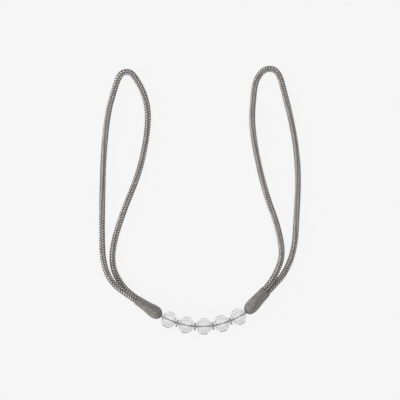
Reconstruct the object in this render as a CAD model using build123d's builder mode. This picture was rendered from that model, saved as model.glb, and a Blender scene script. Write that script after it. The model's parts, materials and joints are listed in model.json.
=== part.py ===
"""A beaded curtain tieback, lying flat as it comes to rest.

Five faceted clear beads with cast spacers between them are threaded on one knotted string. At each end of
the row a moulded cap takes the string's knot and both ends of a loop of braided cord. The frame is in
millimetres with +Z up, the resting surface at Z = 0 and the bead row along X at the near side.
"""

import math
import os

from build123d import *

os.makedirs("parts", exist_ok=True)

# Bead row
bead_count = 5
bead_d = 18.0            # across the corners of the facets
bead_end_d = 7.0         # flat round the bore at each end
bead_bore = 2.4
equator_facets = 12
shoulder_facets = 8
waist_latitude = 31.0    # of the rows of facets next to the equator
shoulder_latitude = 57.0  # of the rows of facets next to the flat ends
facet_depth = 0.45       # how far a facet's middle lies inside the bead's outer sphere

# Spacer rings
spacer_hub_d = 5.8
spacer_thickness = 1.6
spacer_bore = 2.2
lobe_d = 2.1             # across a lobe's corners
lobe_sides = 8
lobe_ring_d = 6.8        # circle through the middles of the lobes
lobe_count = 8

# String
string_d = 1.3
knot_d = 4.4
knot_gap = 0.3           # between a knot and the inside of its cap's tip

# The row's curve and its place
row_turn = 13.07         # degrees from one bead to the next
row_heading = 2.35       # degrees that the middle bead's bore is turned from +X
row_middle = (2.3, -15.9)
row_gap = 0.1            # left between the beads' outer spheres and their spacers
lay_gap = 0.05           # left under the beads and the cords where they lie
tip_gap = 0.3            # left between an end bead and its cap

# End caps
cap_length = 30.9
cap_wall = 0.45          # at the mouth
cap_bulb_d = 14.1
cap_bulb_at = 22.6       # from the mouth to the round bulb's widest place
cap_swell = (0.0, 0.1, 0.2, 0.33, 0.53, 0.82)    # from one cord's width to the bulb, in even steps
cap_spread = (0.0, 0.1, 0.3, 0.65, 1.0, 0.85)    # of the shoulder across both cords
cap_shoulder = 1.4       # how far the shoulder spreads
cap_squareness = 3.2     # of the mouth's outline, where 2 is an ellipse
cap_sides = 24
cap_dome_steps = 6
cap_tip_d = 3.6
cap_hole_d = 2.6
cap_tip_wall = 2.2
cap_hollow_d = 8.0
rest_gap = 0.25          # under the lip of the mouth
left_bend = 10.0         # degrees between the end bead's bore and its cap, seen from above
right_bend = 18.6
left_roll = 107.0        # degrees from level to the line through the two cord ends
right_roll = 128.0

# Loop cords
cord_d = 6.8
cord_gap = 0.15          # between a cord end, the other end and the socket's wall
cord_insert = 13.0       # length of each end inside its cap
cord_lead = 7.0          # straight length outside the mouth
cord_level = cord_d / 2 + lay_gap
bend_share = 0.45        # of the shorter run, taken up by the arc at a corner

# Free points of each loop, from the upper cord end round to the lower one
left_loop = [
    (-96.5, 30.0, 8.0),
    (-105.5, 52.0, 4.2),
    (-106.5, 83.0, cord_level),
    (-106.0, 129.0, cord_level),
    (-104.5, 172.0, cord_level),
    (-100.0, 212.0, cord_level),
    (-93.5, 235.0, cord_level),
    (-89.5, 247.6, cord_level),
    (-85.0, 254.6, cord_level),
    (-76.3, 255.2, cord_level),
    (-69.9, 247.9, cord_level),
    (-61.0, 231.5, cord_level),
    (-56.5, 209.5, cord_level),
    (-60.0, 177.0, cord_level),
    (-68.0, 144.0, cord_level),
    (-83.0, 108.0, cord_level),
    (-95.0, 71.0, cord_level),
    (-95.5, 46.0, cord_level),
    (-85.0, 27.0, cord_level),
]
right_loop = [
    (80.5, 43.0, 5.9),
    (86.5, 61.5, 3.8),
    (81.0, 91.0, cord_level),
    (68.5, 124.0, cord_level),
    (58.5, 164.0, cord_level),
    (53.0, 200.0, cord_level),
    (55.0, 230.0, cord_level),
    (57.5, 246.5, cord_level),
    (66.0, 258.0, cord_level),
    (77.5, 258.5, cord_level),
    (84.0, 249.0, cord_level),
    (88.0, 232.5, cord_level),
    (94.5, 207.5, cord_level),
    (100.5, 175.5, cord_level),
    (103.0, 140.5, cord_level),
    (101.0, 101.5, cord_level),
    (99.0, 66.5, cord_level),
    (89.0, 40.5, cord_level),
]

# Worked out: each bead lies on a facet, the beads' middles on an arc, and each pair leaves room for its spacer
bead_r = bead_d / 2
bead_length = 2 * math.sqrt(bead_r**2 - (bead_end_d / 2) ** 2)
half_turn = math.radians(row_turn / 2)
hub_room = (bead_length * math.cos(half_turn) + bead_end_d * math.sin(half_turn) + spacer_thickness) / 2
lobe_reach = lobe_ring_d / 2 - (bead_length / 2) * math.sin(half_turn)
lobe_room = math.sqrt(bead_r**2 - lobe_reach**2) + spacer_thickness / 2
row_r = (max(hub_room, lobe_room) + row_gap) / math.sin(half_turn)
kink_r = row_r / math.cos(half_turn)    # where the bores of two neighbours meet
row_centre = Vector(
    row_middle[0] - row_r * math.sin(math.radians(row_heading)),
    row_middle[1] + row_r * math.cos(math.radians(row_heading)),
    bead_r - facet_depth + lay_gap,
)
first_heading = row_heading - row_turn * (bead_count - 1) / 2
last_heading = row_heading + row_turn * (bead_count - 1) / 2


def on_row(heading, radius):
    """A plane on the row's arc: its Z runs along the row, its X points up."""
    angle = math.radians(heading)
    outward = Vector(math.sin(angle), -math.cos(angle), 0)
    along = Vector(math.cos(angle), math.sin(angle), 0)
    return Plane(origin=row_centre + outward * radius, x_dir=(0, 0, 1), z_dir=along)


def tip_reach(bend):
    """From an end bead's middle, along its bore, to the tip of its cap."""
    return bead_length / 2 + cap_tip_d / 2 * math.sin(math.radians(bend)) + tip_gap


def cap_seat(tip, heading, roll):
    """A plane on the middle of a cap's mouth: its Z runs to the tip, its X through both cord ends."""
    angle = math.radians(heading)
    turn = math.radians(roll)
    pair_half = (cord_d + cord_gap) / 2
    lip_half = cord_d / 2 + cord_gap + cap_wall
    mouth_height = lip_half + pair_half * math.sin(turn) + rest_gap
    rise = math.asin((tip.Z - mouth_height) / cap_length)
    along = Vector(math.cos(angle) * math.cos(rise), math.sin(angle) * math.cos(rise), math.sin(rise))
    level = Vector(-math.sin(angle), math.cos(angle), 0)
    pair = level * math.cos(turn) + along.cross(level) * math.sin(turn)
    return Plane(origin=tip - along * cap_length, x_dir=pair, z_dir=along)


left_tip = on_row(first_heading, row_r).offset(-tip_reach(left_bend)).origin
right_tip = on_row(last_heading, row_r).offset(tip_reach(right_bend)).origin
left_seat = cap_seat(left_tip, first_heading - left_bend, left_roll)
right_seat = cap_seat(right_tip, last_heading + right_bend + 180, right_roll)


def cord_route(seat, free_points):
    """The whole route of a loop: out of the seat's socket, along the free points and back in."""
    pair_half = (cord_d + cord_gap) / 2
    ends = [
        seat.from_local_coords((side * pair_half, 0, depth))
        for side in (1, -1)
        for depth in (cord_insert, -cord_lead)
    ]
    free = [Vector(*point) for point in free_points]
    return [ends[0], ends[1], *free, ends[3], ends[2]]


def arc_radii(points):
    """The largest tangent arc that each corner's two runs allow."""
    radii = []
    for before, corner, after in zip(points, points[1:], points[2:]):
        run_in = corner - before
        run_out = after - corner
        corner_half_turn = math.radians(run_in.get_angle(run_out)) / 2
        shorter = min(run_in.length, run_out.length)
        radii.append(bend_share * shorter / math.tan(corner_half_turn))
    return radii


# Loop cords: one round cord each, bent into a loop
for side, seat, free_points in (("left", left_seat, left_loop), ("right", right_seat, right_loop)):
    points = cord_route(seat, free_points)
    radii = arc_radii(points)
    with BuildPart() as loop_cord:
        with BuildLine() as route:
            FilletPolyline(*points, radius=radii)
        with BuildSketch(Plane(origin=points[0], z_dir=points[1] - points[0])):
            Circle(cord_d / 2)
        sweep(path=route.wire())
    loop_cord.part.label = f"{side}_loop_cord"
    export_step(loop_cord.part, f"parts/{side}_loop_cord.step")
    cord_length = route.wire().length
    tube_share = loop_cord.part.volume / (math.pi * (cord_d / 2) ** 2 * cord_length)
    print(f"{side} loop: length {cord_length:.1f} mm, volume over section times length {tube_share:.4f}")
    print("  radii", [round(radius, 1) for radius in radii])

# End caps: a flat mouth for two cords that swells to a round bulb, hollow through to the string hole
socket_short = cord_d + 2 * cord_gap
socket_long = socket_short + cord_d + cord_gap
socket_depth = cord_insert + cord_gap
mouth_short = socket_short + 2 * cap_wall
mouth_long = socket_long + 2 * cap_wall
tip_angle = math.acos(cap_tip_d / cap_bulb_d)
dome_height = (cap_length - cap_bulb_at) / math.sin(tip_angle)


def oval_corners(long, short, squareness):
    """Corners of a many-sided flattened oval, which lie on an ellipse at a squareness of 2."""
    points = []
    for step in range(cap_sides):
        angle = 2 * math.pi * step / cap_sides
        across = math.copysign(abs(math.cos(angle)) ** (2 / squareness), math.cos(angle))
        up = math.copysign(abs(math.sin(angle)) ** (2 / squareness), math.sin(angle))
        points.append((across * long / 2, up * short / 2))
    return points


for side, seat in (("left", left_seat), ("right", right_seat)):
    with BuildPart() as end_cap:
        for step, (swell, spread) in enumerate(zip(cap_swell, cap_spread)):
            share = step / len(cap_swell)
            short = mouth_short + (cap_bulb_d - mouth_short) * swell
            long = mouth_long + (cap_bulb_d - mouth_long) * share + cap_shoulder * spread
            squareness = cap_squareness + (2 - cap_squareness) * share
            with BuildSketch(seat.offset(cap_bulb_at * share)):
                Polygon(*oval_corners(long, short, squareness), align=None)
        for step in range(cap_dome_steps + 1):
            angle = tip_angle * step / cap_dome_steps
            dome_d = cap_bulb_d * math.cos(angle)
            with BuildSketch(seat.offset(cap_bulb_at + dome_height * math.sin(angle))):
                Polygon(*oval_corners(dome_d, dome_d, 2), align=None)
        loft(ruled=True)
        with BuildSketch(seat):
            SlotOverall(socket_long, socket_short)
        extrude(amount=socket_depth, mode=Mode.SUBTRACT)
        with BuildSketch(seat.offset(socket_depth)):
            Circle(cap_hollow_d / 2)
        extrude(amount=cap_length - cap_tip_wall - socket_depth, mode=Mode.SUBTRACT)
        with BuildSketch(seat.offset(cap_length)):
            Circle(cap_hole_d / 2)
        extrude(amount=-2 * cap_tip_wall, mode=Mode.SUBTRACT)
    end_cap.part.label = f"{side}_end_cap"
    export_step(end_cap.part, f"parts/{side}_end_cap.step")

# Beads: a ball of flat facets in five rows, with flat ends and a straight bore
facet_rows = [
    (0, equator_facets),
    (waist_latitude, equator_facets),
    (-waist_latitude, equator_facets),
    (shoulder_latitude, shoulder_facets),
    (-shoulder_latitude, shoulder_facets),
]
for number in range(bead_count):
    seat = on_row(first_heading + number * row_turn, row_r)
    with BuildPart() as bead:
        with BuildSketch(seat.offset(-bead_length / 2)):
            Circle(bead_r)
        extrude(amount=bead_length)
        for latitude, count in facet_rows:
            for step in range(count):
                turn = math.radians(step * 360 / count)
                tilt = math.radians(latitude)
                facing = Vector(math.cos(tilt) * math.cos(turn), math.cos(tilt) * math.sin(turn), math.sin(tilt))
                middle = seat.from_local_coords(facing * (bead_r - facet_depth))
                outward = middle - seat.origin
                split(bisect_by=Plane(origin=middle, z_dir=outward), keep=Keep.BOTTOM)
        with BuildSketch(seat.offset(-bead_length / 2)):
            Circle(bead_bore / 2)
        extrude(amount=bead_length, mode=Mode.SUBTRACT)
    bead.part.label = f"bead_{number + 1}"
    export_step(bead.part, f"parts/bead_{number + 1}.step")

# Spacers: a hub with a ring of small lobes, cast as one
for number in range(bead_count - 1):
    seat = on_row(first_heading + (number + 0.5) * row_turn, kink_r)
    with BuildPart() as spacer:
        with BuildSketch(seat.offset(-spacer_thickness / 2)):
            Circle(spacer_hub_d / 2)
            with PolarLocations(lobe_ring_d / 2, lobe_count):
                RegularPolygon(lobe_d / 2, lobe_sides)
            Circle(spacer_bore / 2, mode=Mode.SUBTRACT)
        extrude(amount=spacer_thickness)
    spacer.part.label = f"spacer_{number + 1}"
    export_step(spacer.part, f"parts/spacer_{number + 1}.step")

# String: straight through each bore, bent at each spacer and cap tip, with a knot inside each cap
knot_depth = cap_length - cap_tip_wall - knot_gap - knot_d / 2
kinks = [on_row(first_heading + (number + 0.5) * row_turn, kink_r).origin for number in range(bead_count - 1)]
with BuildPart() as bead_string:
    left_knot = left_seat.offset(knot_depth)
    right_knot = right_seat.offset(knot_depth)
    with BuildLine() as run:
        Polyline(left_knot.origin, left_tip, *kinks, right_tip, right_knot.origin)
    with BuildSketch(left_knot):
        Circle(string_d / 2)
    sweep(path=run.wire(), transition=Transition.RIGHT)
    for knot_seat in (left_knot, right_knot):
        with BuildPart(knot_seat) as knot:
            Cylinder(knot_d / 2, knot_d)
            chamfer(knot.edges().filter_by(GeomType.CIRCLE), knot_d / 4)
bead_string.part.label = "bead_string"
export_step(bead_string.part, "parts/bead_string.step")
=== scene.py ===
import json
import math

import bmesh
import bpy
from mathutils import Matrix, Vector


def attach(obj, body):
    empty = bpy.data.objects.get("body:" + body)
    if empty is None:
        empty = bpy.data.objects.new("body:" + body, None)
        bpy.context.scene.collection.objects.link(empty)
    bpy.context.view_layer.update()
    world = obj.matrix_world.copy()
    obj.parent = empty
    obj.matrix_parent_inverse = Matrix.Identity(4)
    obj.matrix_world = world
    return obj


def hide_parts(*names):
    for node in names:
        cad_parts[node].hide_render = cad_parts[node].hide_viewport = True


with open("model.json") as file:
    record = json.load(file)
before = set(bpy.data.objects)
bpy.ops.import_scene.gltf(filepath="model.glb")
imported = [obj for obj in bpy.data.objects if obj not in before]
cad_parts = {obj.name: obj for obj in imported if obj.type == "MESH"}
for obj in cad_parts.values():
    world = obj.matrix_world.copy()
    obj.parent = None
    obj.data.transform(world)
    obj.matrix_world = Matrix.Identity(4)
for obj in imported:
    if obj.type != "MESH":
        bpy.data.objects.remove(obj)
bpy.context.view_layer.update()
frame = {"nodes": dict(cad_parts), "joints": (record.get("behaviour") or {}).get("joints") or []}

# Loop cords
# Two lengths of round cord, braided from twelve strands of grey silky yarn over a core, painted dark as
# shade between strands.
# Each is bent into a loop, and both of its ends are pushed side by side into the mouth of a cap.
cord_diameter = 0.0068
cord_gap = 0.00015
cord_insert = 0.013
cord_lead = 0.007
cord_level = 0.00345
strands_each_way = 6
braid_lay = {"left": 0.0171, "right": 0.01635}
braid_start = {"left": 0.0, "right": math.pi}
braid_wander = 0.3
strand_width = 0.0019
strand_thickness = 0.0014
strand_lift = 0.0004
strand_step = 0.00052
wander_rate = 0.13
float_steepness = 1.5
core_step_ratio = 3.0
route_steps = 32

# The middle of each cap's mouth, the way its axis runs to the beads, and the way between its two cord ends
cap_mouth = {
    "left": Vector((-0.0688357, 0.0119329, 0.0075732)),
    "right": Vector((0.0679828, 0.0211731, 0.0069883)),
}
cap_axis = {
    "left": Vector((0.830623, -0.555843, 0.033231)),
    "right": Vector((-0.679922, -0.731427, 0.052157)),
}
cap_pair = {
    "left": Vector((-0.189014, -0.225311, 0.955777)),
    "right": Vector((-0.422942, 0.449275, 0.786938)),
}

# Each loop's free points, from the upper cord end round to the lower one
loop_points = {
    "left": [
        (-0.0965, 0.0300, 0.0080),
        (-0.1055, 0.0520, 0.0042),
        (-0.1065, 0.0830, cord_level),
        (-0.1060, 0.1290, cord_level),
        (-0.1045, 0.1720, cord_level),
        (-0.1000, 0.2120, cord_level),
        (-0.0935, 0.2350, cord_level),
        (-0.0895, 0.2476, cord_level),
        (-0.0850, 0.2546, cord_level),
        (-0.0763, 0.2552, cord_level),
        (-0.0699, 0.2479, cord_level),
        (-0.0610, 0.2315, cord_level),
        (-0.0565, 0.2095, cord_level),
        (-0.0600, 0.1770, cord_level),
        (-0.0680, 0.1440, cord_level),
        (-0.0830, 0.1080, cord_level),
        (-0.0950, 0.0710, cord_level),
        (-0.0955, 0.0460, cord_level),
        (-0.0850, 0.0270, cord_level),
    ],
    "right": [
        (0.0805, 0.0430, 0.0059),
        (0.0865, 0.0615, 0.0038),
        (0.0810, 0.0910, cord_level),
        (0.0685, 0.1240, cord_level),
        (0.0585, 0.1640, cord_level),
        (0.0530, 0.2000, cord_level),
        (0.0550, 0.2300, cord_level),
        (0.0575, 0.2465, cord_level),
        (0.0660, 0.2580, cord_level),
        (0.0775, 0.2585, cord_level),
        (0.0840, 0.2490, cord_level),
        (0.0880, 0.2325, cord_level),
        (0.0945, 0.2075, cord_level),
        (0.1005, 0.1755, cord_level),
        (0.1030, 0.1405, cord_level),
        (0.1010, 0.1015, cord_level),
        (0.0990, 0.0665, cord_level),
        (0.0890, 0.0405, cord_level),
    ],
}


def add_node(tree, kind, inputs=(), **settings):
    """A node with its settings, and each input either linked from a socket or set to a value."""
    node = tree.nodes.new(kind)
    for name, value in settings.items():
        setattr(node, name, value)
    for key, value in dict(inputs).items():
        if isinstance(value, bpy.types.NodeSocket):
            tree.links.new(value, node.inputs[key])
        else:
            node.inputs[key].default_value = value
    return node


def reckon(tree, operation, first, second=0.0):
    return add_node(tree, "ShaderNodeMath", {0: first, 1: second}, operation=operation).outputs[0]


def point_math(tree, operation, first, second=None, scale=None):
    inputs = {0: first}
    if second is not None:
        inputs[1] = second
    if scale is not None:
        inputs["Scale"] = scale
    return add_node(tree, "ShaderNodeVectorMath", inputs, operation=operation).outputs[0]


def keep_on_points(tree, geometry, name, value):
    """Keeps a number on every point, for the material to read."""
    inputs = {"Geometry": geometry, "Name": name, "Value": value}
    store = add_node(tree, "GeometryNodeStoreNamedAttribute", inputs, data_type="FLOAT", domain="POINT")
    return store.outputs[0]


def laid_strands_tree():
    """Strands wound round a route: braided over and under with two ways, twisted like rope with one."""
    tree = bpy.data.node_groups.new("laid_strands", "GeometryNodeTree")
    tree.interface.new_socket("Route", in_out="INPUT", socket_type="NodeSocketGeometry")
    for name in ("Ways", "Strands Each Way", "Seed"):
        tree.interface.new_socket(name, in_out="INPUT", socket_type="NodeSocketInt")
    sizes = ("Middle Radius", "Lift", "Width", "Thickness", "Core Radius", "Step")
    for name in ("Lay", "Start", "Wander", *sizes):
        tree.interface.new_socket(name, in_out="INPUT", socket_type="NodeSocketFloat")
    tree.interface.new_socket("Finish", in_out="INPUT", socket_type="NodeSocketMaterial")
    tree.interface.new_socket("Cord", in_out="OUTPUT", socket_type="NodeSocketGeometry")
    given = tree.nodes.new("NodeGroupInput").outputs
    result = tree.nodes.new("NodeGroupOutput")

    line = add_node(tree, "GeometryNodeMeshToCurve", {"Mesh": given["Route"]}).outputs[0]
    even = {"Curve": line, "Length": given["Step"]}
    even_line = add_node(tree, "GeometryNodeResampleCurve", even, mode="LENGTH").outputs[0]
    level_line = add_node(tree, "GeometryNodeSetCurveNormal", {"Curve": even_line}, mode="Z_UP").outputs[0]
    amount = reckon(tree, "MULTIPLY", given["Ways"], given["Strands Each Way"])
    copies = add_node(
        tree, "GeometryNodeDuplicateElements", {"Geometry": level_line, "Amount": amount}, domain="SPLINE"
    )
    number = copies.outputs["Duplicate Index"]
    way = reckon(tree, "FLOOR", reckon(tree, "DIVIDE", number, given["Strands Each Way"]))
    sign = reckon(tree, "SUBTRACT", 1.0, reckon(tree, "MULTIPLY", way, 2.0))
    place = reckon(tree, "SUBTRACT", number, reckon(tree, "MULTIPLY", way, given["Strands Each Way"]))
    staggered = reckon(tree, "ADD", place, reckon(tree, "MULTIPLY", way, 0.5))
    start = reckon(tree, "DIVIDE", reckon(tree, "MULTIPLY", staggered, math.tau), given["Strands Each Way"])
    travelled = add_node(tree, "GeometryNodeSplineParameter").outputs["Length"]
    wound = reckon(tree, "DIVIDE", reckon(tree, "MULTIPLY", travelled, math.tau), given["Lay"])
    angle = reckon(tree, "ADD", start, reckon(tree, "MULTIPLY", wound, sign))

    column = reckon(tree, "MULTIPLY", angle, reckon(tree, "DIVIDE", given["Strands Each Way"], 2.0))
    column = reckon(tree, "ADD", column, given["Start"])
    crossing = reckon(tree, "SUBTRACT", given["Ways"], 1.0)
    upward = reckon(tree, "MULTIPLY", sign, crossing)
    over = reckon(tree, "MULTIPLY", reckon(tree, "COSINE", column), upward)
    level = reckon(tree, "MULTIPLY", over, float_steepness)
    level = reckon(tree, "MAXIMUM", reckon(tree, "MINIMUM", level, 1.0), -1.0)
    rise = reckon(tree, "MULTIPLY", level, given["Lift"])
    reach = reckon(tree, "ADD", given["Middle Radius"], rise)

    slow = reckon(tree, "SINE", reckon(tree, "MULTIPLY", wound, wander_rate))
    turned = reckon(tree, "ADD", angle, reckon(tree, "MULTIPLY", slow, given["Wander"]))
    normal = add_node(tree, "GeometryNodeInputNormal").outputs[0]
    tangent = add_node(tree, "GeometryNodeInputTangent").outputs[0]
    across = point_math(tree, "CROSS_PRODUCT", tangent, normal)
    out_one = point_math(tree, "SCALE", normal, scale=reckon(tree, "COSINE", turned))
    out_two = point_math(tree, "SCALE", across, scale=reckon(tree, "SINE", turned))
    outward = point_math(tree, "ADD", out_one, out_two)
    kept = tree.nodes.new("GeometryNodeCaptureAttribute")
    kept.capture_items.new("VECTOR", "Outward")
    tree.links.new(copies.outputs["Geometry"], kept.inputs[0])
    tree.links.new(outward, kept.inputs[1])
    offset = point_math(tree, "SCALE", kept.outputs[1], scale=reach)

    # In a braid a strand's tone changes only where it is hidden under others
    turn_share = reckon(tree, "DIVIDE", column, math.tau)
    hidden = reckon(tree, "MULTIPLY", reckon(tree, "SUBTRACT", 1.0, way), 0.5)
    float_number = reckon(tree, "FLOOR", reckon(tree, "ADD", turn_share, hidden))
    float_step = reckon(tree, "MULTIPLY", amount, crossing)
    float_tag = reckon(tree, "ADD", reckon(tree, "MULTIPLY", float_number, float_step), number)
    tone = add_node(
        tree,
        "FunctionNodeRandomValue",
        {2: 0.0, 3: 1.0, "ID": float_tag, "Seed": given["Seed"]},
        data_type="FLOAT",
    ).outputs[1]
    toned = keep_on_points(tree, kept.outputs[0], "strand_tone", tone)
    measured = keep_on_points(tree, toned, "strand_along", travelled)
    raised = keep_on_points(tree, measured, "strand_over", over)
    moved = add_node(tree, "GeometryNodeSetPosition", {"Geometry": raised, "Offset": offset}).outputs[0]
    facing = {"Curve": moved, "Normal": kept.outputs[1]}
    strands = add_node(tree, "GeometryNodeSetCurveNormal", facing, mode="FREE").outputs[0]

    ring = add_node(tree, "GeometryNodeCurvePrimitiveCircle", {"Resolution": 6, "Radius": 0.5}).outputs[0]
    ring_place = add_node(tree, "GeometryNodeInputPosition").outputs[0]
    sideways = add_node(tree, "ShaderNodeSeparateXYZ", {0: ring_place}).outputs["Y"]
    marked = keep_on_points(tree, ring, "strand_across", sideways)
    section = {"X": given["Thickness"], "Y": given["Width"], "Z": 1.0}
    flat = add_node(tree, "ShaderNodeCombineXYZ", section).outputs[0]
    profile = add_node(tree, "GeometryNodeTransform", {"Geometry": marked, "Scale": flat}).outputs[0]
    solid = {"Curve": strands, "Profile Curve": profile, "Fill Caps": True}
    strand_mesh = add_node(tree, "GeometryNodeCurveToMesh", solid).outputs[0]

    # The core carries no strand marks, so the yarn colour gives it the painted shade of a dipped strand
    long_step = reckon(tree, "MULTIPLY", given["Step"], core_step_ratio)
    core_line = add_node(
        tree, "GeometryNodeResampleCurve", {"Curve": line, "Length": long_step}, mode="LENGTH"
    ).outputs[0]
    core_ring = add_node(
        tree, "GeometryNodeCurvePrimitiveCircle", {"Resolution": 10, "Radius": given["Core Radius"]}
    ).outputs[0]
    core = {"Curve": core_line, "Profile Curve": core_ring, "Fill Caps": True}
    core_mesh = add_node(tree, "GeometryNodeCurveToMesh", core).outputs[0]
    joined = tree.nodes.new("GeometryNodeJoinGeometry")
    tree.links.new(core_mesh, joined.inputs[0])
    tree.links.new(strand_mesh, joined.inputs[0])
    soft = {"Geometry": joined.outputs[0], "Shade Smooth": True}
    smooth = add_node(tree, "GeometryNodeSetShadeSmooth", soft).outputs[0]
    real = add_node(tree, "GeometryNodeRealizeInstances", {"Geometry": smooth}).outputs[0]
    dressed = {"Geometry": real, "Material": given["Finish"]}
    tree.links.new(add_node(tree, "GeometryNodeSetMaterial", dressed).outputs[0], result.inputs[0])
    return tree


def grown(name, base_mesh, tree, values):
    """A plain mesh object, grown from a base mesh by a tree with the given input values."""
    piece = bpy.data.objects.new(name, base_mesh)
    bpy.context.scene.collection.objects.link(piece)
    modifier = piece.modifiers.new("grow", "NODES")
    modifier.node_group = tree
    sockets = {item.name: item.identifier for item in tree.interface.items_tree if item.in_out == "INPUT"}
    for socket_name, value in values.items():
        modifier[sockets[socket_name]] = value
    bpy.context.view_layer.update()
    finished = piece.evaluated_get(bpy.context.evaluated_depsgraph_get())
    piece_mesh = bpy.data.meshes.new_from_object(finished)
    piece.modifiers.remove(modifier)
    piece.data = piece_mesh
    piece_mesh.name = name
    return piece


def smooth_route(name, points, resolution):
    """One smooth open line, with the given points as its control points, turned into a mesh."""
    curve = bpy.data.curves.new(name, "CURVE")
    curve.dimensions = "3D"
    curve.resolution_u = resolution
    spline = curve.splines.new("NURBS")
    spline.points.add(len(points) - 1)
    for control, point in zip(spline.points, points):
        control.co = (*point, 1.0)
    spline.order_u = 3
    spline.use_endpoint_u = True
    holder = bpy.data.objects.new(name, curve)
    bpy.context.scene.collection.objects.link(holder)
    bpy.context.view_layer.update()
    route = bpy.data.meshes.new_from_object(holder.evaluated_get(bpy.context.evaluated_depsgraph_get()))
    bpy.data.objects.remove(holder)
    return route


def new_material(name):
    material = bpy.data.materials.new(name)
    material.use_nodes = True
    tree = material.node_tree
    return material, tree, tree.nodes["Principled BSDF"]


def noise(tree, scale, detail):
    """Soft noise in the piece's own coordinates."""
    place = add_node(tree, "ShaderNodeTexCoord").outputs["Object"]
    inputs = {"Vector": place, "Scale": scale, "Detail": detail}
    return add_node(tree, "ShaderNodeTexNoise", inputs).outputs["Fac"]


def spread(tree, value, low, high, start=0.0, end=1.0, **settings):
    """A number carried over from the range start to end to the range low to high."""
    inputs = {"Value": value, "From Min": start, "From Max": end, "To Min": low, "To Max": high}
    return add_node(tree, "ShaderNodeMapRange", inputs, **settings).outputs[0]


def blend(tree, share, first, second):
    return add_node(tree, "ShaderNodeMix", {0: share, 6: first, 7: second}, data_type="RGBA").outputs[2]


def add_bump(tree, shader, height, strength, distance):
    inputs = {"Height": height, "Strength": strength, "Distance": distance}
    tree.links.new(add_node(tree, "ShaderNodeBump", inputs).outputs[0], shader.inputs["Normal"])


# How much of the light colour is left in the painted shade where a strand dips and at its edges, and with
# the darkest dye
dip_shade_share = 0.15
edge_shade_share = 0.15
dark_dye_share = 0.65

# How far filaments darken and lighten the yarn, how soon the painted shade at its edges sets in, and how
# high its fuzz stands
groove_share = 0.06
edge_shade_reach = 2.3
fuzz_height = 1.5


def yarn_material(name, dark, light, filaments, twist):
    """Silky yarn: fine filaments along a strand, a tone for each float or ply, painted highlights on raised
    floats and painted shade at dips and edges.
    """
    material, tree, shader = new_material(name)
    read = {
        mark: add_node(tree, "ShaderNodeAttribute", attribute_name=f"strand_{mark}").outputs["Fac"]
        for mark in ("tone", "along", "across", "over")
    }
    twisted = reckon(tree, "MULTIPLY", read["along"], twist)
    lines = reckon(tree, "ADD", reckon(tree, "MULTIPLY", read["across"], filaments), twisted)
    wave = reckon(tree, "SINE", reckon(tree, "MULTIPLY", lines, math.tau))
    fuzz = noise(tree, 900.0, 3.0)
    # Painted highlight on the crown of each raised float, and painted shade where a strand dips under its
    # neighbours
    crown_highlight = reckon(tree, "POWER", reckon(tree, "MAXIMUM", read["over"], 0.0), 2.0)
    raised = spread(tree, crown_highlight, dip_shade_share, 1.0)
    # Painted shade towards each strand's edges, in the valleys between strands
    edge_shade_mask = reckon(tree, "MULTIPLY", reckon(tree, "ABSOLUTE", read["across"]), edge_shade_reach)
    middle = spread(tree, reckon(tree, "POWER", edge_shade_mask, 2.0), 1.0, edge_shade_share)
    dyed = spread(tree, read["tone"], dark_dye_share, 1.0)
    combed = reckon(tree, "ADD", reckon(tree, "MULTIPLY", wave, groove_share), 1 - groove_share)
    shade = reckon(tree, "MULTIPLY", raised, reckon(tree, "MULTIPLY", middle, dyed))
    shade = reckon(tree, "MULTIPLY", shade, combed)
    tree.links.new(blend(tree, shade, dark, light), shader.inputs["Base Color"])
    tree.links.new(spread(tree, fuzz, 0.42, 0.62), shader.inputs["Roughness"])
    height = reckon(tree, "ADD", wave, reckon(tree, "MULTIPLY", fuzz, fuzz_height))
    add_bump(tree, shader, height, 0.5, 0.00006)
    shader.inputs["Sheen Weight"].default_value = 0.15
    shader.inputs["Sheen Roughness"].default_value = 0.5
    return material


laid_strands = laid_strands_tree()
braid_dark = (0.03, 0.028, 0.027, 1.0)
braid_light = (0.96, 0.902, 0.873, 1.0)
braid_yarn = yarn_material("grey_braid_yarn", braid_dark, braid_light, filaments=4.0, twist=900.0)
pair_half = (cord_diameter + cord_gap) / 2
for side in ("left", "right"):
    mouth, axis, pair = cap_mouth[side], cap_axis[side], cap_pair[side]
    upper, lower = mouth + pair * pair_half, mouth - pair * pair_half
    route_points = [
        upper + axis * cord_insert,
        upper - axis * cord_lead,
        *loop_points[side],
        lower - axis * cord_lead,
        lower + axis * cord_insert,
    ]
    route_mesh = smooth_route(f"{side}_loop_route", route_points, route_steps)
    loop = grown(f"{side}_braided_loop", route_mesh, laid_strands, {
        "Ways": 2,
        "Strands Each Way": strands_each_way,
        "Seed": 3,
        "Lay": braid_lay[side],
        "Start": braid_start[side],
        "Wander": braid_wander,
        "Middle Radius": cord_diameter / 2 - strand_thickness / 2 - strand_lift,
        "Lift": strand_lift,
        "Width": strand_width,
        "Thickness": strand_thickness,
        "Core Radius": cord_diameter / 2 - strand_thickness - strand_lift,
        "Step": strand_step,
        "Finish": braid_yarn,
    })
    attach(loop, "strap")
    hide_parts(f"{side}_loop_cord")

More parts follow.
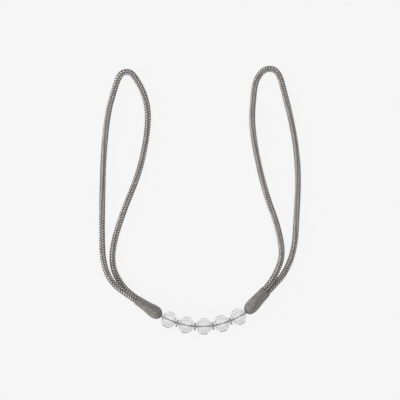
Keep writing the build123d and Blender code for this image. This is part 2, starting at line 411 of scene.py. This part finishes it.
# End caps
# Moulded cores wound closely with fine grey thread: a flat mouth for two cord ends swells to a round bulb.
# Each is hollow, and the string's knot sits behind the hole in its tip.
cap_length = 0.0309
cap_bulb_diameter = 0.0141
cap_bulb_at = 0.0226
cap_wall = 0.00045
cap_swell = (0.0, 0.1, 0.2, 0.33, 0.53, 0.82, 1.0)
cap_spread = (0.0, 0.1, 0.3, 0.65, 1.0, 0.85, 0.0)
cap_shoulder = 0.0014
cap_squareness = 3.2
cap_tip_diameter = 0.0036
cap_hole_diameter = 0.0026
cap_tip_wall = 0.0022
cap_hollow_diameter = 0.008
thread_pitch = 0.00095
thread_depth = 0.00016
rings_a_thread = 7
broad_share = 0.7
points_a_ring = 72
cap_sharp_angle = math.radians(50)
socket_short = cord_diameter + 2 * cord_gap
socket_long = socket_short + cord_diameter + cord_gap
socket_depth = cord_insert + strand_width / 2
mouth_short = socket_short + 2 * cap_wall
mouth_long = socket_long + 2 * cap_wall
dome_angle = math.acos(cap_tip_diameter / cap_bulb_diameter)
dome_height = (cap_length - cap_bulb_at) / math.sin(dome_angle)


def eased(values, share):
    """A smooth line through evenly spaced values."""
    spot = share * (len(values) - 1)
    low = min(int(spot), len(values) - 2)
    part = spot - low
    before = values[max(low - 1, 0)]
    after = values[min(low + 2, len(values) - 1)]
    first, second = values[low], values[low + 1]
    slope_in = (second - before) / 2
    slope_out = (after - first) / 2
    rest = 1 - part
    level = first * rest * rest * (1 + 2 * part) + second * part * part * (3 - 2 * part)
    return level + slope_in * part * rest * rest - slope_out * part * part * rest


def cap_section(height):
    """Long side, short side and squareness of the cap's outline at a height above its mouth."""
    if height > cap_bulb_at:
        across = math.sqrt(max(0.0, 1 - ((height - cap_bulb_at) / dome_height) ** 2)) * cap_bulb_diameter
        return across, across, 2.0
    share = height / cap_bulb_at
    short = mouth_short + (cap_bulb_diameter - mouth_short) * eased(cap_swell, share)
    shoulder = cap_shoulder * eased(cap_spread, share)
    squareness = cap_squareness + (2 - cap_squareness) * share
    return mouth_long + (cap_bulb_diameter - mouth_long) * share + shoulder, short, squareness


def oval_ring(long, short, squareness, height):
    ring = []
    for step in range(points_a_ring):
        angle = math.tau * step / points_a_ring
        along = math.copysign(abs(math.cos(angle)) ** (2 / squareness), math.cos(angle))
        up = math.copysign(abs(math.sin(angle)) ** (2 / squareness), math.sin(angle))
        ring.append(Vector((along * long / 2, up * short / 2, height)))
    return ring


def slot_ring(height):
    """The socket's outline: two cords side by side."""
    ring = []
    for step in range(points_a_ring):
        angle = math.tau * step / points_a_ring
        end = math.copysign((socket_long - socket_short) / 2, math.cos(angle))
        ring.append(Vector((
            end + math.cos(angle) * socket_short / 2,
            math.sin(angle) * socket_short / 2,
            height,
        )))
    return ring


def wound_heights():
    """Heights of the rings on the outside: even steps up to the bulb, then even angles round its dome."""
    step = thread_pitch / rings_a_thread
    heights = []
    height = 0.0
    while height < cap_bulb_at:
        heights.append(height)
        height += step
    angle_step = step / (cap_bulb_diameter / 2)
    count = max(2, round(dome_angle / angle_step))
    heights += [cap_bulb_at + dome_height * math.sin(dome_angle * n / count) for n in range(count + 1)]
    return heights


def wound_cap_mesh(name, seat):
    mesh = bmesh.new()
    outside = wound_heights()
    rings = [oval_ring(*cap_section(height), height) for height in outside]
    tip_hole = cap_hole_diameter
    hollow = cap_hollow_diameter
    rings.append(oval_ring(tip_hole, tip_hole, 2.0, cap_length))
    rings.append(oval_ring(tip_hole, tip_hole, 2.0, cap_length - cap_tip_wall))
    rings.append(oval_ring(hollow, hollow, 2.0, cap_length - cap_tip_wall))
    rings.append(oval_ring(hollow, hollow, 2.0, socket_depth))
    rings.append(slot_ring(socket_depth))
    rings.append(slot_ring(0.0))
    loops = [[mesh.verts.new(point) for point in ring] for ring in rings]
    for near, far in zip(loops, loops[1:] + loops[:1]):
        for step in range(points_a_ring):
            after = (step + 1) % points_a_ring
            mesh.faces.new((near[step], near[after], far[after], far[step]))
    mesh.normal_update()
    lowered = []
    for ring_number, loop in enumerate(loops[: len(outside)]):
        for step, vertex in enumerate(loop):
            phase = (ring_number / rings_a_thread + step / points_a_ring) % 1.0
            groove = 1 - math.sqrt(max(0.0, 1 - (2 * phase - 1) ** 2))
            edge = min(1.0, ring_number / rings_a_thread, (len(outside) - 1 - ring_number) / rings_a_thread)
            lowered.append((vertex, vertex.co - vertex.normal * thread_depth * groove * edge))
    for vertex, place in lowered:
        vertex.co = place
    bmesh.ops.recalc_face_normals(mesh, faces=mesh.faces)
    mesh.transform(seat)
    cap_mesh = bpy.data.meshes.new(name)
    mesh.to_mesh(cap_mesh)
    mesh.free()
    cap_mesh.shade_smooth()
    cap_mesh.set_sharp_from_angle(angle=cap_sharp_angle)
    return cap_mesh


def thread_material():
    material, tree, shader = new_material("grey_winding_thread")
    broad = reckon(tree, "MULTIPLY", noise(tree, 750.0, 2.0), broad_share)
    fine = noise(tree, 2400.0, 2.0)
    mixed = reckon(tree, "ADD", broad, reckon(tree, "MULTIPLY", fine, 1 - broad_share))
    speckle = spread(tree, mixed, 0.0, 1.0, 0.3, 0.7)
    dark, light = (0.08, 0.074, 0.071, 1.0), (0.31, 0.288, 0.278, 1.0)
    tree.links.new(blend(tree, speckle, dark, light), shader.inputs["Base Color"])
    tree.links.new(spread(tree, fine, 0.45, 0.65), shader.inputs["Roughness"])
    add_bump(tree, shader, fine, 0.4, 0.00005)
    shader.inputs["Sheen Weight"].default_value = 0.1
    return material


winding_thread = thread_material()
for side in ("left", "right"):
    level = cap_axis[side].cross(cap_pair[side])
    seat = Matrix((cap_pair[side], level, cap_axis[side])).transposed().to_4x4()
    seat.translation = cap_mouth[side]
    cap = bpy.data.objects.new(f"{side}_wound_cap", wound_cap_mesh(f"{side}_wound_cap", seat))
    bpy.context.scene.collection.objects.link(cap)
    cap.data.materials.append(winding_thread)
    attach(cap, "strap")
    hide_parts(f"{side}_end_cap")

# Bead string
# One dark string of three plies twisted together, threaded through the bores and spacers.
# It is knotted behind the hole in each cap's tip.
string_diameter = 0.0013
string_lay = 0.005
string_plies = 3
string_core_share = 0.1
ply_share = 0.52
ply_diameter = string_diameter * ply_share
ply_step = 0.0003
string_route_steps = 12
bead_bore_half = 0.0083
knot_radius = 0.0013
knot_centre_depth = 0.0048
knot_points = 15
knot_divisions = 16
knot_cut = 0.03
knot_flatness = 0.55
bead_joints = [joint for joint in frame["joints"] if joint["child"].startswith("bead_")]
string_points = []
for joint in bead_joints:
    middle, bore = Vector(joint["pos_m"]), Vector(joint["axis"])
    string_points += [middle - bore * bead_bore_half, middle + bore * bead_bore_half]
tips = {side: cap_mouth[side] + cap_axis[side] * cap_length for side in cap_mouth}


def knot_turns(side):
    """An overhand knot behind the cap's tip, run through from the tip to the string's cut end."""
    back = -cap_axis[side]
    sideways, upright = cap_pair[side], cap_axis[side].cross(cap_pair[side])
    centre = tips[side] + back * knot_centre_depth
    turns = []
    for step in range(knot_points):
        angle = math.tau * (step / knot_divisions + knot_cut)
        out = (2 + math.cos(3 * angle)) / 3 * knot_radius
        turns.append(
            centre
            + sideways * out * math.cos(2 * angle)
            + upright * out * math.sin(2 * angle)
            + back * knot_radius * knot_flatness * math.sin(3 * angle)
        )
    return turns


left_end = [*reversed(knot_turns("left")), tips["left"] - cap_axis["left"] * cap_tip_wall, tips["left"]]
right_end = [tips["right"], tips["right"] - cap_axis["right"] * cap_tip_wall, *knot_turns("right")]
string_route = smooth_route("string_route", [*left_end, *string_points, *right_end], string_route_steps)
string_dark = (0.035, 0.034, 0.034, 1.0)
string_light = (0.12, 0.117, 0.115, 1.0)
string_yarn = yarn_material("dark_string_yarn", string_dark, string_light, filaments=3.0, twist=500.0)
string = grown("twisted_bead_string", string_route, laid_strands, {
    "Ways": 1,
    "Strands Each Way": string_plies,
    "Seed": 5,
    "Lay": string_lay,
    "Start": 0.0,
    "Wander": 0.0,
    "Middle Radius": (string_diameter - ply_diameter) / 2,
    "Lift": 0.0,
    "Width": ply_diameter,
    "Thickness": ply_diameter,
    "Core Radius": string_diameter * string_core_share,
    "Step": ply_step,
    "Finish": string_yarn,
})
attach(string, "strap")
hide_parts("bead_string")

# Beads
# Clear acrylic balls cut with flat facets in five rows, with a bore drilled from end to end.
# The edges between facets are a little softened by polishing. Each bead turns freely on the string.
facet_edge = 0.00012
bore_margin = 0.0018
weld_distance = 0.000002
flat_angle = math.radians(1.0)
facet_angle = 0.05
bead_sharp_angle = math.radians(12)


def polished_bead_mesh(node_name, joint):
    """The bead's own solid with its loose triangles merged and the edges between its facets softened."""
    mesh = bmesh.new()
    mesh.from_mesh(frame["nodes"][node_name].data)
    bmesh.ops.remove_doubles(mesh, verts=mesh.verts, dist=weld_distance)
    bmesh.ops.dissolve_limit(mesh, angle_limit=flat_angle, verts=mesh.verts, edges=mesh.edges)
    middle, bore = Vector(joint["pos_m"]), Vector(joint["axis"])

    def off_axis(point):
        way = point - middle
        return (way - bore * way.dot(bore)).length

    def between_facets(edge):
        nearest = min(off_axis(vertex.co) for vertex in edge.verts)
        return nearest > bore_margin and edge.calc_face_angle(0.0) > facet_angle

    outer = [edge for edge in mesh.edges if between_facets(edge)]
    bmesh.ops.bevel(mesh, geom=outer, offset=facet_edge, segments=2, profile=0.6, affect="EDGES")
    bead_mesh = bpy.data.meshes.new(f"{node_name}_polished")
    mesh.to_mesh(bead_mesh)
    mesh.free()
    bead_mesh.shade_smooth()
    bead_mesh.set_sharp_from_angle(angle=bead_sharp_angle)
    return bead_mesh


def acrylic_material():
    material, tree, shader = new_material("clear_acrylic")
    haze = noise(tree, 700.0, 3.0)
    tree.links.new(spread(tree, haze, 0.0, 0.05), shader.inputs["Roughness"])
    cloud = spread(tree, haze, 0.0, 1.0, 0.35, 0.65)
    cloudy, clear = (0.64, 0.64, 0.64, 1.0), (0.9, 0.9, 0.9, 1.0)
    tree.links.new(blend(tree, cloud, cloudy, clear), shader.inputs["Base Color"])
    shader.inputs["Transmission Weight"].default_value = 1.0
    shader.inputs["IOR"].default_value = 1.49
    return material


acrylic = acrylic_material()
for joint in bead_joints:
    bead_name = joint["child"]
    bead = bpy.data.objects.new(f"{bead_name}_polished", polished_bead_mesh(bead_name, joint))
    bpy.context.scene.collection.objects.link(bead)
    bead.data.materials.clear()
    bead.data.materials.append(acrylic)
    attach(bead, bead_name)
    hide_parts(bead_name)

# Spacers
# Small rings cast in bright metal: a flat hub with a ring of little balls round it.
# One sits loose on the string between each two beads.
spacer_hub_diameter = 0.0058
spacer_thickness = 0.0016
spacer_bore = 0.0022
ball_diameter = 0.0019
ball_ring_diameter = 0.007
ball_count = 8
rim_share = 0.3


def ball_ring_tree():
    """A hub with rounded rims and a ring of small balls, set square on an axis."""
    tree = bpy.data.node_groups.new("ball_ring", "GeometryNodeTree")
    tree.interface.new_socket("Base", in_out="INPUT", socket_type="NodeSocketGeometry")
    tree.interface.new_socket("Balls", in_out="INPUT", socket_type="NodeSocketInt")
    for name in ("Hub", "Bore", "Thickness", "Ball", "Ball Ring"):
        tree.interface.new_socket(name, in_out="INPUT", socket_type="NodeSocketFloat")
    for name in ("Middle", "Axis"):
        tree.interface.new_socket(name, in_out="INPUT", socket_type="NodeSocketVector")
    tree.interface.new_socket("Finish", in_out="INPUT", socket_type="NodeSocketMaterial")
    tree.interface.new_socket("Ring", in_out="OUTPUT", socket_type="NodeSocketGeometry")
    given = tree.nodes.new("NodeGroupInput").outputs
    result = tree.nodes.new("NodeGroupOutput")

    ball_radius = reckon(tree, "MULTIPLY", given["Ball"], 0.5)
    round_ball = {"Radius": ball_radius, "Subdivisions": 3}
    ball = add_node(tree, "GeometryNodeMeshIcoSphere", round_ball).outputs[0]
    ring_radius = reckon(tree, "MULTIPLY", given["Ball Ring"], 0.5)
    ring = {"Vertices": given["Balls"], "Radius": ring_radius}
    seats = add_node(tree, "GeometryNodeMeshCircle", ring).outputs[0]
    balls = add_node(tree, "GeometryNodeInstanceOnPoints", {"Points": seats, "Instance": ball}).outputs[0]
    wall = reckon(tree, "SUBTRACT", given["Hub"], given["Bore"])
    wall = reckon(tree, "MULTIPLY", wall, 0.5)
    hub_radius = reckon(tree, "MULTIPLY", reckon(tree, "ADD", given["Hub"], given["Bore"]), 0.25)
    hub_line = add_node(
        tree, "GeometryNodeCurvePrimitiveCircle", {"Resolution": 40, "Radius": hub_radius}
    ).outputs[0]
    block = {"Width": wall, "Height": given["Thickness"]}
    section = add_node(tree, "GeometryNodeCurvePrimitiveQuadrilateral", block).outputs[0]
    rim = {"Curve": section, "Radius": reckon(tree, "MULTIPLY", given["Thickness"], rim_share), "Count": 3}
    rounded = add_node(tree, "GeometryNodeFilletCurve", rim, mode="POLY").outputs[0]
    swept = {"Curve": hub_line, "Profile Curve": rounded}
    hub = add_node(tree, "GeometryNodeCurveToMesh", swept).outputs[0]
    joined = tree.nodes.new("GeometryNodeJoinGeometry")
    tree.links.new(hub, joined.inputs[0])
    tree.links.new(balls, joined.inputs[0])
    upright = add_node(tree, "FunctionNodeAlignRotationToVector", {"Vector": given["Axis"]}, axis="Z")
    laid = {"Geometry": joined.outputs[0], "Translation": given["Middle"], "Rotation": upright.outputs[0]}
    placed = add_node(tree, "GeometryNodeTransform", laid).outputs[0]
    soft = {"Geometry": placed, "Shade Smooth": True}
    smooth = add_node(tree, "GeometryNodeSetShadeSmooth", soft).outputs[0]
    real = add_node(tree, "GeometryNodeRealizeInstances", {"Geometry": smooth}).outputs[0]
    dressed = {"Geometry": real, "Material": given["Finish"]}
    tree.links.new(add_node(tree, "GeometryNodeSetMaterial", dressed).outputs[0], result.inputs[0])
    return tree


def bright_metal_material():
    material, tree, shader = new_material("bright_spacer_metal")
    wear = noise(tree, 1500.0, 3.0)
    tree.links.new(spread(tree, wear, 0.08, 0.28), shader.inputs["Roughness"])
    dark, light = (0.25, 0.25, 0.25, 1.0), (0.6, 0.6, 0.6, 1.0)
    tree.links.new(blend(tree, wear, dark, light), shader.inputs["Base Color"])
    shader.inputs["Metallic"].default_value = 1.0
    return material


ball_ring = ball_ring_tree()
bright_metal = bright_metal_material()
for joint in frame["joints"]:
    spacer_name = joint["child"]
    if not spacer_name.startswith("spacer_"):
        continue
    spacer = grown(f"{spacer_name}_ball_ring", bpy.data.meshes.new("spacer_base"), ball_ring, {
        "Balls": ball_count,
        "Hub": spacer_hub_diameter,
        "Bore": spacer_bore,
        "Thickness": spacer_thickness,
        "Ball": ball_diameter,
        "Ball Ring": ball_ring_diameter,
        "Middle": joint["pos_m"],
        "Axis": joint["axis"],
        "Finish": bright_metal,
    })
    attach(spacer, spacer_name)
    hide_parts(spacer_name)

# Table, light and camera
# A pale table fills the view, and the camera looks straight down on it. The room is brighter on the left.
# A soft lamp on the left lights matt surfaces only, and a panel overhead shows only in shiny ones.
photo_middle = (-0.0019, 0.1185)
photo_width = 0.426
camera_height = 4.0
picture_plane = 0.005
backdrop_white = 0.923
table_glow_share = 0.96
left_way = (-0.96, -0.15, 0.24)
table_size = 6.0
lamp_place = (-1.6, -0.2, 0.27)
lamp_size = 0.8
lamp_power = 19.0


def table_material():
    material, tree, shader = new_material("pale_table")
    cloud = noise(tree, 4.0, 2.0)
    grey, white = (0.9, 0.9, 0.9, 1.0), (0.93, 0.93, 0.93, 1.0)
    tree.links.new(blend(tree, cloud, grey, white), shader.inputs["Base Color"])
    shader.inputs["Roughness"].default_value = 0.9
    path = add_node(tree, "ShaderNodeLightPath")
    seen = reckon(tree, "MAXIMUM", path.outputs["Is Camera Ray"], path.outputs["Is Glossy Ray"])
    seen = reckon(tree, "MAXIMUM", seen, path.outputs["Is Transmission Ray"])
    share = reckon(tree, "MULTIPLY", seen, table_glow_share)
    backdrop = (backdrop_white, backdrop_white, backdrop_white, 1.0)
    glow = add_node(tree, "ShaderNodeEmission", {"Color": backdrop, "Strength": 1.0})
    mix = add_node(tree, "ShaderNodeMixShader", {0: share, 1: shader.outputs[0], 2: glow.outputs[0]})
    tree.links.new(mix.outputs[0], tree.nodes["Material Output"].inputs["Surface"])
    return material


table_mesh = bpy.data.meshes.new("table")
half = table_size / 2
corners = [(-half, -half, 0), (half, -half, 0), (half, half, 0), (-half, half, 0)]
table_mesh.from_pydata(corners, [], [(0, 1, 2, 3)])
table = bpy.data.objects.new("table", table_mesh)
bpy.context.scene.collection.objects.link(table)
table_mesh.materials.append(table_material())

world = bpy.data.worlds.new("studio")
world.use_nodes = True
sky = world.node_tree
sky_way = add_node(sky, "ShaderNodeTexCoord").outputs["Generated"]
sky_height = add_node(sky, "ShaderNodeSeparateXYZ", {0: sky_way}).outputs["Z"]
room_light = spread(sky, sky_height, 0.5, 0.8, 0.1, 0.8)
leftward = add_node(sky, "ShaderNodeVectorMath", {0: sky_way, 1: left_way}, operation="DOT_PRODUCT")
window_light = spread(sky, leftward.outputs["Value"], 0.0, 0.9, 0.5, 1.0, interpolation_type="SMOOTHSTEP")
panel_light = spread(sky, sky_height, 0.0, 2.2, 0.9, 0.96, interpolation_type="SMOOTHSTEP")
mirrored = add_node(sky, "ShaderNodeLightPath").outputs["Is Glossy Ray"]
panel_light = reckon(sky, "MULTIPLY", panel_light, mirrored)
sky_light = reckon(sky, "ADD", reckon(sky, "ADD", room_light, window_light), panel_light)
sky.nodes["Background"].inputs["Color"].default_value = (1.0, 1.0, 1.0, 1.0)
sky.links.new(sky_light, sky.nodes["Background"].inputs["Strength"])
bpy.context.scene.world = world

light = bpy.data.lights.new("left_lamp", "AREA")
light.shape = "DISK"
light.size = lamp_size
light.energy = lamp_power
lamp = bpy.data.objects.new("left_lamp", light)
lamp.location = lamp_place
aim = Vector((*photo_middle, 0.0)) - Vector(lamp_place)
lamp.rotation_euler = aim.to_track_quat("-Z", "Y").to_euler()
lamp.visible_glossy = False
lamp.visible_transmission = False
bpy.context.scene.collection.objects.link(lamp)

lens = bpy.data.cameras.new("camera")
lens.sensor_width = 36.0
lens.lens = lens.sensor_width * camera_height / photo_width
lens.clip_end = 20.0
camera = bpy.data.objects.new("camera", lens)
camera.location = (*photo_middle, camera_height + picture_plane)
bpy.context.scene.collection.objects.link(camera)
bpy.context.scene.camera = camera
bpy.context.scene.view_settings.view_transform = "Standard"

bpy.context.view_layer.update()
